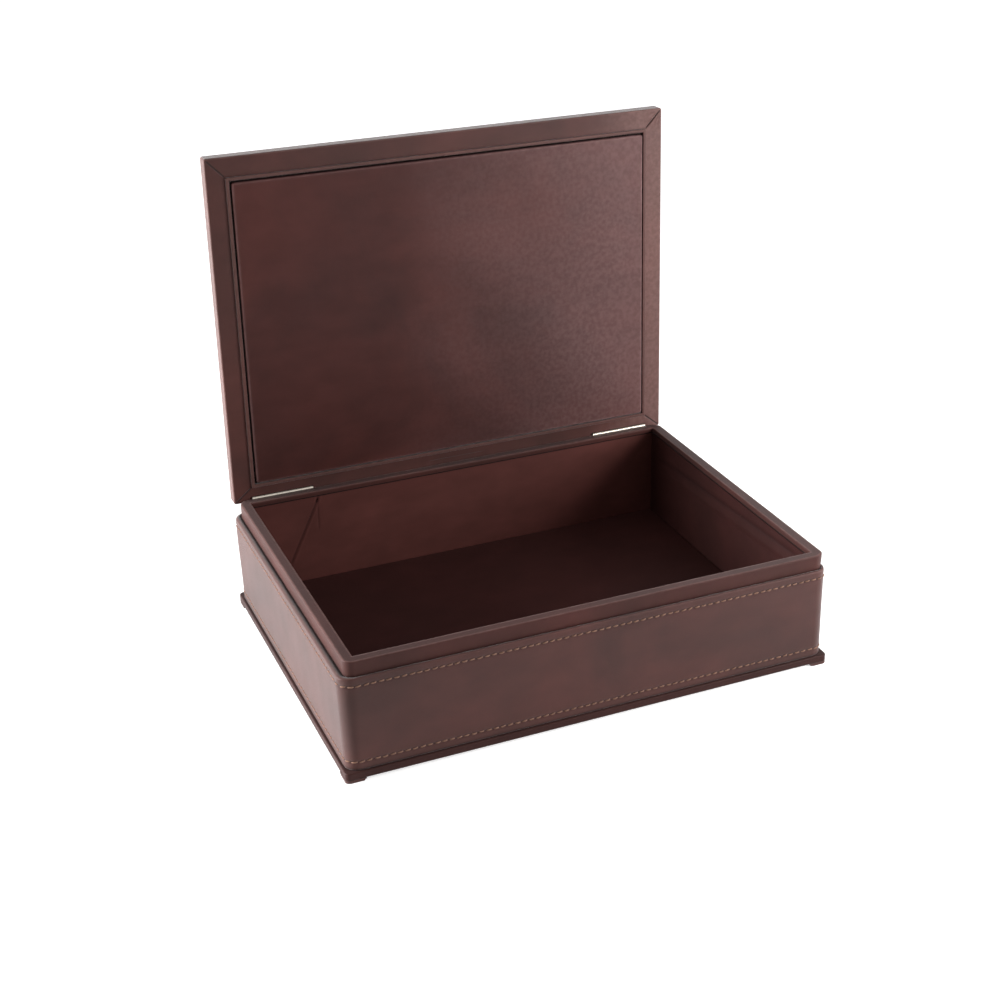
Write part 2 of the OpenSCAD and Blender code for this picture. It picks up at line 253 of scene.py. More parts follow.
def addMath(tree, operation, first, second):
    node = addNode(tree, "ShaderNodeMath", operation=operation)
    tree.links.new(first, node.inputs[0])
    tree.links.new(second, node.inputs[1])
    return node.outputs[0]


def remap(tree, source, low, high, toLow, toHigh):
    node = addNode(tree, "ShaderNodeMapRange", {1: low, 2: high, 3: toLow, 4: toHigh})
    tree.links.new(source, node.inputs[0])
    return node.outputs[0]


# First colour where share is 0, second where it is 1; each is a socket or a fixed colour
def mixColours(tree, share, first, second):
    node = addNode(tree, "ShaderNodeMix", data_type="RGBA")
    tree.links.new(share, node.inputs[0])
    for slot, colour in ((6, first), (7, second)):
        if isinstance(colour, tuple):
            node.inputs[slot].default_value = colour
        else:
            tree.links.new(colour, node.inputs[slot])
    return node.outputs[2]


# What all the leathers share: dye patches, faint streaks, places paled by rubbed wear and by painted highlights,
# painted shade towards near black, pores and cells
skinLook = {"patches": {"Detail": 6, "Roughness": 0.58, "Distortion": 0.6}, "patchSpread": (0.36, 0.66, 0.0, 1.0),
            "streaks": {"Scale": 60, "Detail": 4}, "streakStretch": (0.6, 1, 1.3),
            "streakSpread": (0.35, 0.7, 0.92, 1.09),
            "wearAndHighlightNoise": {"Scale": 330, "Detail": 3}, "wearAndHighlightSpread": (0.35, 0.65, 0.6, 1.0),
            "paintedShade": (0.010, 0.005, 0.005, 1), "cellSpread": (0.0, 0.16, 0.0, 0.55),
            "pores": {"Scale": 700, "Detail": 5}, "glossSpread": 0.16,
            "reliefDepth": 0.12 * mm, "sheenRoughness": 0.45}


def makeLeatherSkin():
    group = bpy.data.node_groups.new("leatherSkin", "ShaderNodeTree")
    sockets = {"INPUT": (("Vector", "Vector"), ("Base", "Color"), ("Deep", "Color"), ("RubbedAndLit", "Color"),
                         ("PatchScale", "Float"), ("PatchAmount", "Float"), ("GrainScale", "Float"),
                         ("Gloss", "Float"), ("WearAndHighlight", "Float"), ("PaintedShade", "Float")),
               "OUTPUT": (("Color", "Color"), ("Roughness", "Float"), ("Height", "Float"))}
    for side, pairs in sockets.items():
        for name, kind in pairs:
            group.interface.new_socket(name=name, in_out=side, socket_type="NodeSocket" + kind)
    given = group.nodes.new("NodeGroupInput").outputs
    result = group.nodes.new("NodeGroupOutput").inputs
    link = group.links.new
    where = given["Vector"]

    patches = addNoise(group, where, skinLook["patches"])
    link(given["PatchScale"], patches.inputs["Scale"])
    spread = remap(group, patches.outputs["Fac"], *skinLook["patchSpread"])
    dye = mixColours(group, addMath(group, "MULTIPLY", spread, given["PatchAmount"]),
                     given["Base"], given["Deep"])

    stretch = addNode(group, "ShaderNodeMapping", {"Scale": skinLook["streakStretch"]})
    link(where, stretch.inputs["Vector"])
    streaks = addNoise(group, stretch.outputs[0], skinLook["streaks"])
    shade = addNode(group, "ShaderNodeVectorMath", operation="SCALE")
    link(dye, shade.inputs[0])
    link(remap(group, streaks.outputs["Fac"], *skinLook["streakSpread"]), shade.inputs["Scale"])

    # Paler towards the rubbed colour by the wear attribute: real rubbed wear, and on some pieces painted
    # highlight and painted sheen
    wearAndHighlightNoise = addNoise(group, where, skinLook["wearAndHighlightNoise"])
    wearAndHighlightShare = addMath(group, "MULTIPLY", given["WearAndHighlight"],
                        remap(group, wearAndHighlightNoise.outputs["Fac"], *skinLook["wearAndHighlightSpread"]))
    rubbedAndLit = mixColours(group, wearAndHighlightShare, shade.outputs[0], given["RubbedAndLit"])
    # Painted shade: the shade attribute mixes in the near-black colour
    link(mixColours(group, given["PaintedShade"], rubbedAndLit, skinLook["paintedShade"]), result["Color"])

    grain = addNode(group, "ShaderNodeTexVoronoi", feature="DISTANCE_TO_EDGE")
    link(where, grain.inputs["Vector"])
    link(given["GrainScale"], grain.inputs["Scale"])
    cells = remap(group, grain.outputs["Distance"], *skinLook["cellSpread"])
    pores = addNoise(group, where, skinLook["pores"])
    link(addMath(group, "ADD", cells, pores.outputs["Fac"]), result["Height"])

    gloss = addNode(group, "ShaderNodeMath", {1: skinLook["glossSpread"]}, operation="MULTIPLY_ADD")
    link(patches.outputs["Fac"], gloss.inputs[0])
    link(given["Gloss"], gloss.inputs[2])
    link(gloss.outputs[0], result["Roughness"])
    return group


leatherSkin = makeLeatherSkin()


def leather(name, look):
    finish = bpy.data.materials.new(name)
    finish.use_nodes = True
    tree = finish.node_tree
    shader = tree.nodes["Principled BSDF"]
    where = tree.nodes.new("ShaderNodeTexCoord")
    wearAndHighlightAttribute = addNode(tree, "ShaderNodeAttribute", attribute_name="wearAndHighlight")
    shadeAttribute = addNode(tree, "ShaderNodeAttribute", attribute_name="paintedShade")
    skin = addNode(tree, "ShaderNodeGroup", node_tree=leatherSkin)
    for key in ("Base", "Deep", "RubbedAndLit"):
        skin.inputs[key].default_value = (*look[key], 1)
    for key in ("PatchScale", "PatchAmount", "GrainScale", "Gloss"):
        skin.inputs[key].default_value = look[key]
    relief = addNode(tree, "ShaderNodeBump", {"Strength": look["relief"], "Distance": skinLook["reliefDepth"]})
    for a, b in ((where.outputs["Object"], skin.inputs["Vector"]),
                 (wearAndHighlightAttribute.outputs["Fac"], skin.inputs["WearAndHighlight"]),
                 (shadeAttribute.outputs["Fac"], skin.inputs["PaintedShade"]),
                 (skin.outputs["Height"], relief.inputs["Height"]),
                 (skin.outputs["Color"], shader.inputs["Base Color"]),
                 (skin.outputs["Roughness"], shader.inputs["Roughness"]),
                 (relief.outputs["Normal"], shader.inputs["Normal"])):
        tree.links.new(a, b)
    shader.inputs["Specular IOR Level"].default_value = look["shine"]
    shader.inputs["Sheen Weight"].default_value = look["sheen"]
    shader.inputs["Sheen Roughness"].default_value = skinLook["sheenRoughness"]
    return finish


coverLook = {"Base": (0.070, 0.024, 0.020), "Deep": (0.034, 0.015, 0.013), "RubbedAndLit": (0.27, 0.155, 0.14),
             "PatchScale": 11.0, "PatchAmount": 0.7, "GrainScale": 1300.0, "Gloss": 0.36, "relief": 0.35,
             "shine": 0.11, "sheen": 0.32}
neckLook = {**coverLook, "Base": (0.060, 0.020, 0.017), "Deep": (0.034, 0.014, 0.012),
            "shine": 0.09, "sheen": 0.10}
plinthLook = {**coverLook, "Base": (0.040, 0.0145, 0.0125), "Deep": (0.024, 0.0105, 0.0095),
              "shine": 0.09, "sheen": 0.05}
panelLook = {"Base": (0.064, 0.021, 0.018), "Deep": (0.034, 0.014, 0.013), "RubbedAndLit": (0.19, 0.11, 0.108),
             "PatchScale": 9.0, "PatchAmount": 0.85, "GrainScale": 1200.0, "Gloss": 0.30, "relief": 0.3,
             "shine": 0.09, "sheen": 0.0}
liningLook = {"Base": (0.036, 0.012, 0.011), "Deep": (0.024, 0.009, 0.008), "RubbedAndLit": (0.15, 0.050, 0.041),
              "PatchScale": 12.0, "PatchAmount": 0.6, "GrainScale": 1300.0, "Gloss": 0.42, "relief": 0.3,
              "shine": 0.09, "sheen": 0.0}
# Painted light: the rear lining is a lighter, redder copy of the lining, standing in for light thrown onto the
# rear wall
litRearLiningLook = {**liningLook, "Base": (0.082, 0.027, 0.023), "Deep": (0.056, 0.019, 0.016)}
coverLeather = leather("coverLeather", coverLook)
neckFinish = leather("neckFinish", neckLook)
plinthLeather = leather("plinthLeather", plinthLook)
panelLeather = leather("panelLeather", panelLook)
liningLeather = leather("liningLeather", liningLook)
litRearLiningLeather = leather("litRearLiningLeather", litRearLiningLook)


# The plain finishes: a colour varied by noise between dark and light, roughness varied with it,
# and a fine relief
def plainFinish(name, look):
    finish = bpy.data.materials.new(name)
    finish.use_nodes = True
    tree = finish.node_tree
    shader = tree.nodes["Principled BSDF"]
    where = tree.nodes.new("ShaderNodeTexCoord")
    placing = addNode(tree, "ShaderNodeMapping", {"Scale": look["stretch"]})
    tree.links.new(where.outputs["Object"], placing.inputs["Vector"])
    grain = addNoise(tree, placing.outputs[0], {"Scale": look["scale"], "Detail": 5}).outputs["Fac"]
    colour = mixColours(tree, grain, (*look["dark"], 1), (*look["light"], 1))
    rough = remap(tree, grain, 0.3, 0.7, look["rough"] - 0.06, look["rough"] + 0.06)
    relief = addNode(tree, "ShaderNodeBump", {"Strength": look["relief"], "Distance": 0.05 * mm})
    for a, b in ((grain, relief.inputs["Height"]), (colour, shader.inputs["Base Color"]),
                 (rough, shader.inputs["Roughness"]), (relief.outputs[0], shader.inputs["Normal"])):
        tree.links.new(a, b)
    shader.inputs["Metallic"].default_value = look["metal"]
    shader.inputs["Specular IOR Level"].default_value = look["shine"]
    return finish


brightNickel = plainFinish("brightNickel", {
    "light": (0.50, 0.45, 0.39), "dark": (0.27, 0.24, 0.21), "scale": 900, "stretch": (0.1, 1, 1),
    "rough": 0.3, "metal": 1.0, "shine": 0.5, "relief": 0.1})
pressedBoard = plainFinish("pressedBoard", {
    "light": (0.46, 0.37, 0.28), "dark": (0.34, 0.27, 0.20), "scale": 240, "stretch": (1, 1, 1),
    "rough": 0.8, "metal": 0.0, "shine": 0.15, "relief": 0.5})
tanThread = plainFinish("tanThread", {
    "light": (0.27, 0.15, 0.105), "dark": (0.115, 0.060, 0.042), "scale": 1500, "stretch": (1, 1, 0.4),
    "rough": 0.6, "metal": 0.0, "shine": 0.15, "relief": 0.5})

for name, node in frame["nodes"].items():
    if name.startswith("hinge") or "screws" in name:
        finish = brightNickel
    elif name == "plinth_cover":
        finish = plinthLeather
    elif name.startswith("lining"):
        finish = liningLeather
    elif name.endswith("board"):
        finish = pressedBoard
    else:
        finish = coverLeather
    node.data.materials.clear()
    node.data.materials.append(finish)
print("finishes made and given to the packed parts")

# Case: one leather band, rolled over at its top and hemmed at its foot, with two rows of stitches.
# The thread pulls a trough into the leather along each row.
case = {"width": 335.4 * mm, "depth": 245.4 * mm, "corner": 8.7 * mm, "foot": 6.8 * mm, "top": 71 * mm,
        "skin": 0.9 * mm, "band": 2.7 * mm, "hem": 0.7 * mm, "steps": (150, 110, 12), "heights": 74,
        "rows": (12.6 * mm, 65.5 * mm), "trough": 0.28 * mm, "troughWidth": 0.8 * mm,
        "wave": 0.16 * mm, "waveSeed": 3, "calmFoot": 6 * mm, "calmTop": 3 * mm,
        "leftLean": 1.5 * mm, "leanSpan": (10 * mm, 66 * mm),
        "wearAndHighlight": 0.1, "wearAndHighlightHeight": 2 * mm, "footShade": 0.55, "footShadeSpan": (0.4 * mm, 2.2 * mm),
        "rollShade": 0.4, "leftRollShade": 0.45, "rollShadeSpan": (0.25, 0.7), "rollShadeHeight": 1 * mm,
        "rowShade": 0.5, "rowShadeWidth": 0.75 * mm}


# Outward shift of the band = soft waves that are calm at foot and top - the bump at each row
# + the left side's lean, which grows with height and with facing left squared
def bandShift(points, facing):
    x, y, z = points[..., 0], points[..., 1], points[..., 2]
    rise = (smoothStep(z, case["foot"], case["foot"] + case["calmFoot"])
            * (1 - smoothStep(z, case["top"] - case["calmTop"], case["top"])))
    shift = case["wave"] * softWaves(x, y, z, case["waveSeed"]) * rise
    for row in case["rows"]:
        shift -= case["trough"] * bump(z - row, case["troughWidth"])
    lean = smoothStep(z, *case["leanSpan"]) * case["leftLean"]
    return shift + lean * np.clip(-facing[..., 0], 0, 1) ** 2


roll = case["band"] / 2
shoulder = case["top"] - roll
wallHeights = np.linspace(case["foot"] + case["hem"], shoulder, case["heights"])
outerProfile = bend(-case["hem"], case["foot"] + case["hem"], case["hem"], -90, 0, steps=6)
outerProfile += [(0, h) for h in wallHeights[1:-1]]
outerProfile += bend(-roll, shoulder, roll, 0, 180, steps=14)
caseProfile = outerProfile + [(-case["skin"], shoulder), (-case["skin"], case["foot"])]
caseWay = wayRound(*case["steps"])
casePoints = carryRound(caseWay, case["width"], case["depth"], case["corner"], caseProfile, middleY)
caseOuts = outsOf(caseProfile)
outerShare = np.clip((caseOuts + case["band"]) / case["band"], 0, 1)
outerShare[len(outerProfile):] = 0
caseFacing = np.broadcast_to(caseWay[1], (len(caseProfile),) + caseWay[1].shape)
casePoints[..., :2] += caseFacing * (bandShift(casePoints, caseFacing) * outerShare)[..., None]

caseHeights = casePoints[..., 2]
# Rubbed wear with a painted highlight pales the top of the roll
caseWearAndHighlight = case["wearAndHighlight"] * smoothStep(caseHeights, case["top"] - case["wearAndHighlightHeight"], case["top"])
caseWearAndHighlight *= caseOuts > -case["band"]
# Painted shade: darker at the foot over the plinth, on the inner part of the roll beside the neck (more on the
# left side), and along each stitch row's trough
shadeLow, shadeHigh = case["footShadeSpan"]
caseShade = case["footShade"] * (1 - smoothStep(caseHeights, case["foot"] + shadeLow, case["foot"] + shadeHigh))
leftward = np.clip(-caseFacing[..., 0], 0, 1) ** 2
shadeLow, shadeHigh = case["rollShadeSpan"]
innerRoll = (smoothStep(-caseOuts, shadeLow * case["band"], shadeHigh * case["band"])
             * smoothStep(caseHeights, shoulder - case["rollShadeHeight"], shoulder))
caseShade += (case["rollShade"] + case["leftRollShade"] * leftward) * innerRoll
for row in case["rows"]:
    caseShade += case["rowShade"] * bump(caseHeights - row, case["rowShadeWidth"])
makePiece("caseLeather", casePoints, ringFaces(len(caseProfile), len(caseWay[0]), True), coverLeather,
          "box", ["case_cover"], caseWearAndHighlight, caseShade)

stitch = {"pitch": 4.83 * mm, "length": 4.1 * mm, "thread": 0.5 * mm, "slant": 0.12, "slantSpread": 0.05,
          "wander": 0.06, "drift": 0.07 * mm, "arch": 0.30 * mm, "dive": 0.62 * mm, "taper": 0.82,
          "leastGirth": 0.02, "rings": 7, "sides": 6, "steps": (400, 300, 60), "sharp": 70}


# Stitches stand at equal distances along the whole way round, corners too. One stitch is a few
# rings along its length: girth = thread x square root of (1 - taper x length to the fourth), and
# the middle rises by arch - dive x length to the power 2.5, so both ends dive into the leather.
def stitchRow(name, height, seed):
    way = wayRound(*stitch["steps"], even=True)
    flat = ring(way, case["width"] / 2, case["depth"] / 2, case["corner"], middleY)
    closed = np.vstack([flat, flat[:1]])
    travel = np.concatenate([[0], np.cumsum(np.linalg.norm(np.diff(closed, axis=0), axis=1))])
    count = round(travel[-1] / stitch["pitch"])
    rng = np.random.default_rng(seed)
    wander = rng.uniform(-stitch["wander"], stitch["wander"], count)
    stops = (np.arange(count) + 0.5 + wander) * travel[-1] / count
    turns = np.unwrap(np.arctan2(way[1][:, 1], way[1][:, 0]))
    turns = np.append(turns, turns[0] + 2 * math.pi)
    heading = np.interp(stops, travel, turns)
    facing = np.column_stack([np.cos(heading), np.sin(heading)])
    centre = np.column_stack([np.interp(stops, travel, closed[:, 0]), np.interp(stops, travel, closed[:, 1]),
                              height + rng.normal(0, stitch["drift"], count)])
    centre[:, :2] += facing * bandShift(centre, facing)[:, None]
    out = np.column_stack([facing, np.zeros(count)])
    side = np.column_stack([-facing[:, 1], facing[:, 0], np.zeros(count)])
    up = np.tile([0.0, 0, 1], (count, 1))
    tilt = rng.normal(stitch["slant"], stitch["slantSpread"], count)[:, None]
    side, up = side * np.cos(tilt) + up * np.sin(tilt), up * np.cos(tilt) - side * np.sin(tilt)
    rings, sides = stitch["rings"], stitch["sides"]
    length = np.linspace(-1, 1, rings)
    girth = np.sqrt(np.clip(1 - stitch["taper"] * length ** 4, stitch["leastGirth"], 1)) * stitch["thread"]
    arch = stitch["arch"] - stitch["dive"] * np.abs(length) ** 2.5
    spin = np.arange(sides) * 2 * math.pi / sides
    a = (length[:, None] * stitch["length"] / 2 + 0 * spin).ravel()
    b = (girth[:, None] * np.sin(spin)).ravel()
    c = (arch[:, None] + girth[:, None] * np.cos(spin)).ravel()
    points = (centre[:, None] + a[None, :, None] * side[:, None] + b[None, :, None] * up[:, None]
              + c[None, :, None] * out[:, None])
    single = turnedOut(points[0], ringFaces(rings, sides, False))
    faces = [[v + n * rings * sides for v in f] for n in range(count) for f in single]
    makePiece(name, points, faces, tanThread, "box", angle=stitch["sharp"])


stitchRow("lowerStitching", case["rows"][0], 21)
stitchRow("upperStitching", case["rows"][1], 22)

# Neck: the tray's cover, folded over the rim and a little way down inside. Its right side leans out.
neck = {"width": 330 * mm, "depth": 240 * mm, "corner": 6 * mm, "foot": 6.8 * mm, "skin": 0.9 * mm,
        "wall": 7.2 * mm, "rim": 1.0 * mm, "steps": (150, 110, 12), "heights": 30, "across": 9,
        "turnIn": 3.5 * mm, "slot": 0.9 * mm, "lip": 0.3 * mm, "lipMiddle": (0.1 * mm, 0.08 * mm),
        "tuck": 0.8 * mm, "tuckDepth": 0.4 * mm,
        "rightLean": 1.4 * mm, "leanSpan": (66 * mm, 78 * mm), "foldLean": 0.5, "hiddenLean": 0.06,
        "wave": 0.10 * mm, "waveSeed": 8, "waveDepth": 0.6 * mm,
        "wearAndHighlight": 0.3, "wearAndHighlightWidth": 1.2 * mm, "footShade": 0.5, "footShadeSpan": (70.5 * mm, 72.5 * mm)}
grooves = {"off": 133 * mm, "length": 45.5 * mm, "radius": 1.65 * mm, "sides": 48}
rim, skin, wall, tuck = neck["rim"], neck["skin"], neck["wall"], neck["tuck"]
neckProfile = [(0, h) for h in np.linspace(neck["foot"], rimZ - rim, neck["heights"])[:-1]]
neckProfile += bend(-rim, rimZ - rim, rim, 0, 90, steps=9)
neckProfile += [(-o, rimZ) for o in np.linspace(rim, wall - rim, neck["across"])[1:-1]]
foldStart = len(neckProfile) - 1
neckProfile += bend(-wall + rim, rimZ - rim, rim, 90, 180, steps=9)
under = rimZ - neck["turnIn"]
lipIn, lipUp = neck["lipMiddle"]
neckProfile += [(-wall, under + neck["lip"]), (-wall + lipIn, under + lipUp), (-wall + neck["lip"], under)]
legStart = len(neckProfile)
legFoot = under - neck["slot"] - neck["tuckDepth"]
neckProfile += [(-wall + tuck, under), (-wall + tuck, legFoot)]
innerSkin = [(-wall + skin, legFoot), (-wall + skin, rimZ - skin), (-skin, rimZ - skin), (-skin, neck["foot"])]
neckProfile += innerSkin
neckWay = wayRound(*neck["steps"])
neckPoints = carryRound(neckWay, neck["width"], neck["depth"], neck["corner"], neckProfile, middleY)

topShare = smoothStep(neckPoints[..., 2], rimZ - neck["waveDepth"], rimZ)
topShare[-len(innerSkin):] = 0  # the hidden inner skin stays flat
leanShare = np.ones((len(neckProfile), 1))
leanShare[foldStart:legStart] = neck["foldLean"]
leanShare[legStart:-2] = neck["hiddenLean"]  # what lies against the board stays with it
rightward, backward = (np.clip(np.broadcast_to(neckWay[1][:, k], neckPoints.shape[:2]), 0, 1) for k in (0, 1))
neckPoints[..., 0] += (leanShare * neck["rightLean"] * rightward ** 2 * (1 - backward)
                       * smoothStep(neckPoints[..., 2], *neck["leanSpan"]))
neckWaves = softWaves(*np.moveaxis(neckPoints, -1, 0), neck["waveSeed"])
neckPoints[..., 2] -= topShare * neck["wave"] * (0.5 + 0.5 * neckWaves)
# A painted highlight, with some rubbed wear, pales the rim's edges; painted shade darkens the neck's foot where
# it sinks into the case
nearEdge = np.abs(outsOf(neckProfile) + wall / 2) > wall / 2 - neck["wearAndHighlightWidth"]
neckWearAndHighlight = neck["wearAndHighlight"] * topShare * nearEdge
neckShade = neck["footShade"] * (1 - smoothStep(neckPoints[..., 2], *neck["footShadeSpan"]))
neckShade[legStart - 1:legStart + 3] = 1  # the slot under the turn-in is painted fully dark: painted shade
neckPiece = makePiece("neckLeather", neckPoints, ringFaces(len(neckProfile), len(neckWay[0]), True),
                      neckFinish, "box", ["neck_cover"], neckWearAndHighlight, neckShade)
cutGrooves(neckPiece, grooves)

# Lining of the walls, with the creases that the glue left; the crease troughs are painted darker, a painted
# shade. A line is start, stop, width, strength, measured along the wall and up it.
lining = {"board": 6.35 * mm, "setBack": 1.0 * mm, "columns": 170, "rows": 90, "wave": 0.12 * mm,
          "creaseDepth": 0.4 * mm, "foldDepth": 0.35 * mm, "paintedShade": 0.4,
          "closeColumns": (-145 * mm, -85 * mm, 120),
          "rearLines": (((-0.1085, 0.0772), (-0.1330, 0.0260), 0.7 * mm, 1.0),
                        ((-0.1065, 0.0772), (-0.1310, 0.0260), 0.7 * mm, -0.7),
                        ((-0.1100, 0.0772), (-0.1100, 0.0500), 0.7 * mm, 0.5)),
          "rightLines": (((0.10, 0.060), (-0.11, 0.071), 2 * mm, 1.0),
                         ((0.10, 0.052), (-0.11, 0.064), 2.5 * mm, -1.0))}


# Depth x the sum of the lines' creases, each times its strength
def creases(u, z, depth, lines):
    return depth * sum(strength * crease(u, z, start, stop, width) for start, stop, width, strength in lines)


def rearCreases(x, z):
    return creases(x, z, lining["creaseDepth"], lining["rearLines"])


# Two long shallow folds that run down along the right wall
def rightFolds(y, z):
    return creases(y, z, lining["foldDepth"], lining["rightLines"])


def noDents(u, z):
    return 0 * u


# A thin wall sheet, from a grid of places along and up the wall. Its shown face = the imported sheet's
# face, set back, less the dents and the waves; its back is flat.
def wallSheet(name, alongX, dents, seed, finish=liningLeather, close=()):
    low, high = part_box(name)
    top = rimZ - neck["turnIn"] - neck["slot"]
    reach = (neck["width"] if alongX else neck["depth"]) / 2 - lining["board"]
    start, stop = (-reach, reach) if alongX else (middleY - reach, middleY + reach)
    columns = np.unique(np.concatenate([np.linspace(start, stop, lining["columns"]), close]))
    u, z = np.meshgrid(columns, np.linspace(low.z, top, lining["rows"]))
    nearSide, farSide, middle = (low.y, high.y, middleY) if alongX else (low.x, high.x, 0)
    inward = 1 if nearSide < middle else -1
    shown, back = (farSide, nearSide) if inward == 1 else (nearSide, farSide)
    face = shown - inward * (lining["setBack"] + dents(u, z))
    face -= inward * lining["wave"] * softWaves(u, 0 * u, z, seed)
    pair = []
    for offset in (face, np.full_like(u, back)):
        pair.append(np.stack([u, offset, z] if alongX else [offset, u, z], axis=-1).reshape(-1, 3))
    nCol, nRow = len(columns), lining["rows"]
    i, k = np.meshgrid(np.arange(nCol - 1), np.arange(nRow - 1))
    a = (k * nCol + i).ravel()
    sheet = np.stack([a, a + 1, a + nCol + 1, a + nCol], axis=-1)
    half = nCol * nRow
    border = np.concatenate([np.arange(nCol), np.arange(1, nRow) * nCol + nCol - 1,
                             (nRow - 1) * nCol + np.arange(nCol - 2, -1, -1),
                             np.arange(nRow - 2, 0, -1) * nCol])
    after = np.roll(border, -1)
    edge = np.stack([after, border, border + half, after + half], axis=-1)
    faces = sheet.tolist() + (sheet[:, ::-1] + half).tolist() + edge.tolist()
    newName = "lining" + name.split("_")[1].capitalize() + "Leather"
    # Painted shade: the sheet is darker where it dips into a crease
    dips = np.clip(dents(u, z) / lining["creaseDepth"], 0, 1).ravel()
    makePiece(newName, np.concatenate(pair), faces, finish, "box", [name],
              paintedShade=lining["paintedShade"] * np.concatenate([dips, 0 * dips]))


wallSheet("lining_rear", True, rearCreases, 11, litRearLiningLeather, np.linspace(*lining["closeColumns"]))
wallSheet("lining_front", True, noDents, 12)
wallSheet("lining_left", False, noDents, 11)
wallSheet("lining_right", False, rightFolds, 12)

# Lid: cover with a mitred border and a window for the panel. It is drawn shut and then opened.
lid = {"width": 336.4 * mm, "front": -125.2 * mm, "rear": 122.4 * mm, "thick": 10.3 * mm, "gap": 0.2 * mm,
       "corner": 1.7 * mm, "arris": 1.0 * mm, "skin": 0.9 * mm, "steps": (210, 150, 13), "rings": 40,
       "windowW": 310 * mm, "windowD": 223 * mm, "windowCorner": 0.3 * mm,
       "mitre": 0.5 * mm, "mitreWidth": 0.5 * mm, "mitreEnd": 0.6 * mm, "mitreShade": 0.8,
       "seatHalf": 21.5 * mm, "seatDeep": 0.45 * mm, "seatWide": 6 * mm, "seatEnd": 0.5 * mm,
       "seatEdge": 0.3 * mm, "pucker": 0.10 * mm, "puckerTurns": 26, "puckerReach": 9 * mm,
       "puckerWidth": 6 * mm, "wave": 0.07 * mm, "waveSeed": 12, "fade": (0.93, 1.0),
       "backWave": 0.12 * mm, "backSeed": 15, "backInsets": (3, 6, 12, 24, 48, 90),
       "edgeWearAndHighlight": 0.2, "edgeWidth": 0.8 * mm, "rightSheen": 0.35, "rightSpan": (100 * mm, 160 * mm)}
faceZ = rimZ + lid["gap"]
backZ = faceZ + lid["thick"]
lidDepth = lid["rear"] - lid["front"]
lidMid = middleY + (lid["rear"] + lid["front"]) / 2
lidWay = wayRound(*lid["steps"])
arris = lid["arris"]
window = ring(lidWay, lid["windowW"] / 2, lid["windowD"] / 2, lid["windowCorner"], middleY)
flatEdge = carryRound(lidWay, lid["width"], lidDepth, lid["corner"], [(-arris, faceZ)], lidMid)[0][:, :2]
share = np.linspace(0, 1, lid["rings"])[:, None, None]
flat = window * (1 - share) + flatEdge * share
inside = np.concatenate([flat, np.full(flat.shape[:2] + (1,), faceZ)], axis=-1)


# The four mitre seams, each a narrow crease from the window's corner to the lid's
def mitreDent(x, y):
    dent = np.zeros_like(x)
    for sx in (-1, 1):
        for sy, edgeY in ((-1, lid["front"]), (1, lid["rear"])):
            start = (sx * lid["windowW"] / 2, middleY + sy * lid["windowD"] / 2)
            stop = (sx * (lid["width"] / 2 - lid["mitreEnd"]), middleY + edgeY - sy * lid["mitreEnd"])
            dent += crease(x, y, start, stop, lid["mitreWidth"])
    return dent


# Depth of the border's dents = the four mitres + the pressed seat between the hinges
# + puckers round one corner, sin(turns x angle) x the bump of the distance + soft waves
def borderDent(x, y):
    dent = lid["mitre"] * mitreDent(x, y)
    seatY = middleY + lid["rear"] - lid["seatWide"]
    across = 1 - smoothStep(np.abs(x), lid["seatHalf"] - lid["seatEnd"], lid["seatHalf"] + lid["seatEnd"])
    dent += lid["seatDeep"] * across * smoothStep(y, seatY - lid["seatEdge"], seatY + lid["seatEdge"])
    cornerX, cornerY = lid["width"] / 2, middleY + lid["front"]
    reach = np.hypot(x - cornerX, y - cornerY)
    turn = np.arctan2(y - cornerY, cornerX - x)
    dent += (lid["pucker"] * np.sin(turn * lid["puckerTurns"])
             * bump(reach - lid["puckerReach"], lid["puckerWidth"]))
    return dent + lid["wave"] * softWaves(x, y, 0 * x, lid["waveSeed"])


fadeOut = 1 - smoothStep(share[..., 0], *lid["fade"])
inside[..., 2] += borderDent(inside[..., 0], inside[..., 1]) * fadeOut
well = inside[:1].copy()
well[..., 2] = faceZ + lid["skin"]
edgeProfile = bend(-arris, faceZ + arris, arris, -90, 0, steps=8)[1:]
edgeProfile += [(0, h) for h in np.linspace(faceZ + arris, backZ - arris, 8)[1:-1]]
edgeProfile += bend(-arris, backZ - arris, arris, 0, 90, steps=8)
edgeProfile += [(-o * mm, backZ) for o in lid["backInsets"]]
edgeRings = carryRound(lidWay, lid["width"], lidDepth, lid["corner"], edgeProfile, lidMid)
lidPoints = np.concatenate([well, inside, edgeRings])
backFace = lidPoints[..., 2] > backZ - 0.01 * mm
backWaves = softWaves(*np.moveaxis(lidPoints, -1, 0), lid["backSeed"])
lidPoints[..., 2] -= backFace * lid["backWave"] * (1 + backWaves)

# Rubbed wear pales the lid's edges; a painted sheen pales the face towards the right; painted shade darkens the
# mitre creases and the window's well
atEdge = np.zeros((len(lidPoints), 1))
atEdge[len(inside) + 1:] = np.abs(outsOf(edgeProfile)) < lid["edgeWidth"]
lidWearAndSheen = lid["edgeWearAndHighlight"] * atEdge * np.ones(lidPoints.shape[:2])
lidWearAndSheen += (lid["rightSheen"] * smoothStep(lidPoints[..., 0], *lid["rightSpan"])
            * (lidPoints[..., 2] < faceZ + arris))
lidShade = np.zeros(lidPoints.shape[:2])
seams = np.clip(mitreDent(inside[..., 0], inside[..., 1]), 0, 1)
lidShade[1:len(inside) + 1] = lid["mitreShade"] * seams * fadeOut
# painted shade: the well ring inside the window is fully dark
lidShade[0] = 1
lidPiece = makePiece("lidLeather", openLid(lidPoints), ringFaces(len(lidPoints), len(lidWay[0]), False),
                     coverLeather, "lid", ["lid_cover"], lidWearAndSheen, lidShade)
cutGrooves(lidPiece, grooves)

